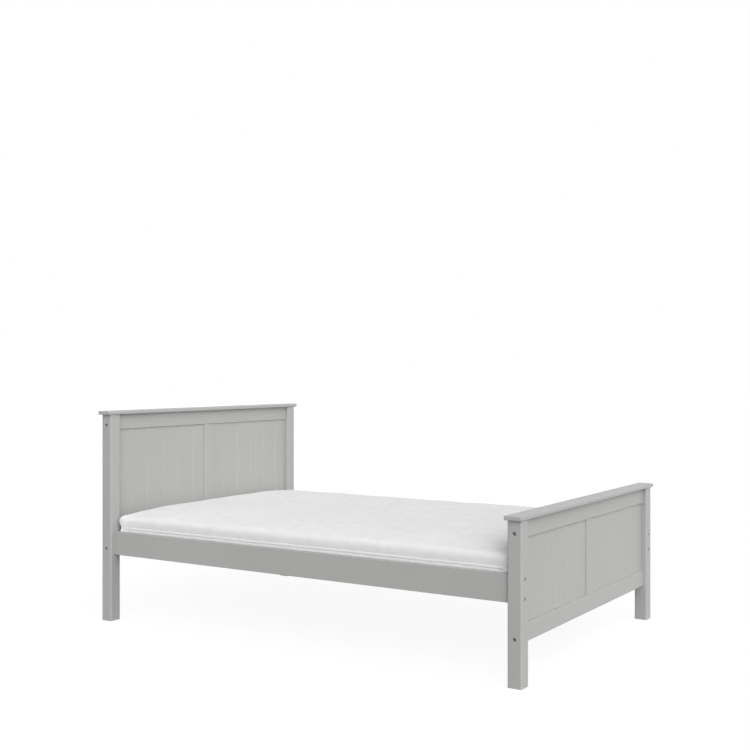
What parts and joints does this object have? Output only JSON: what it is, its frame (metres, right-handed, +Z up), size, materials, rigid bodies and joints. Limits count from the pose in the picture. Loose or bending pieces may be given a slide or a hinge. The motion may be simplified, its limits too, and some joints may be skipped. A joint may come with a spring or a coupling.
{
  "type": "panel bed",
  "caption": "Painted wooden panel bed with grooved headboard and footboard, overhanging caps, flat side rails, slatted base and a lift-off crowned mattress.",
  "frame": {"origin": "on the floor, under the middle of the bed: the centre of the bounding box's base", "axes": "+X across the bed to the right as seen from the foot, +Y along the bed towards the headboard, +Z up"},
  "size_m": [1.324, 2.034, 0.91],
  "materials": {
    "painted_wood": "satin paint, pale warm grey",
    "bare_pine": "planed pine, unfinished",
    "beech_dowel": "turned beech, unfinished",
    "zinc_steel": "zinc-plated steel",
    "foam": "open-cell foam",
    "quilted_cover": "white knitted cover with a woven pattern",
    "piping": "white corded seam"
  },
  "bodies": {
    "bed_frame": {"bed_barrel_nuts": "zinc_steel", "bed_bolts": "zinc_steel", "cap_dowels": "beech_dowel", "cross_barrel_nuts": "zinc_steel", "cross_bolts": "zinc_steel", "end_rail_dowels": "beech_dowel", "foot_cap": "painted_wood", "foot_centre_stile": "painted_wood", "foot_lower_rail": "painted_wood", "foot_panel_left": "painted_wood", "foot_panel_right": "painted_wood", "foot_post_left": "painted_wood", "foot_post_right": "painted_wood", "foot_upper_rail": "painted_wood", "head_cap": "painted_wood", "head_centre_stile": "painted_wood", "head_lower_rail": "painted_wood", "head_panel_left": "painted_wood", "head_panel_right": "painted_wood", "head_post_left": "painted_wood", "head_post_right": "painted_wood", "head_upper_rail": "painted_wood", "ledger_screws": "zinc_steel", "side_rail_dowels": "beech_dowel", "side_rail_left": "painted_wood", "side_rail_right": "painted_wood", "slat_01": "bare_pine", "slat_02": "bare_pine", "slat_03": "bare_pine", "slat_04": "bare_pine", "slat_05": "bare_pine", "slat_06": "bare_pine", "slat_07": "bare_pine", "slat_08": "bare_pine", "slat_09": "bare_pine", "slat_10": "bare_pine", "slat_11": "bare_pine", "slat_12": "bare_pine", "slat_13": "bare_pine", "slat_14": "bare_pine", "slat_ledger_left": "bare_pine", "slat_ledger_right": "bare_pine", "slat_screws": "zinc_steel"},
    "mattress": {"mattress_cover": "quilted_cover", "mattress_foam": "foam", "mattress_piping": "piping"}
  },
  "joints": [
    {"name": "mattress_lift", "type": "slide", "parent": "bed_frame", "child": "mattress", "axis": [0, 0, 1], "range_m": [0, 0.62]}
  ]
}
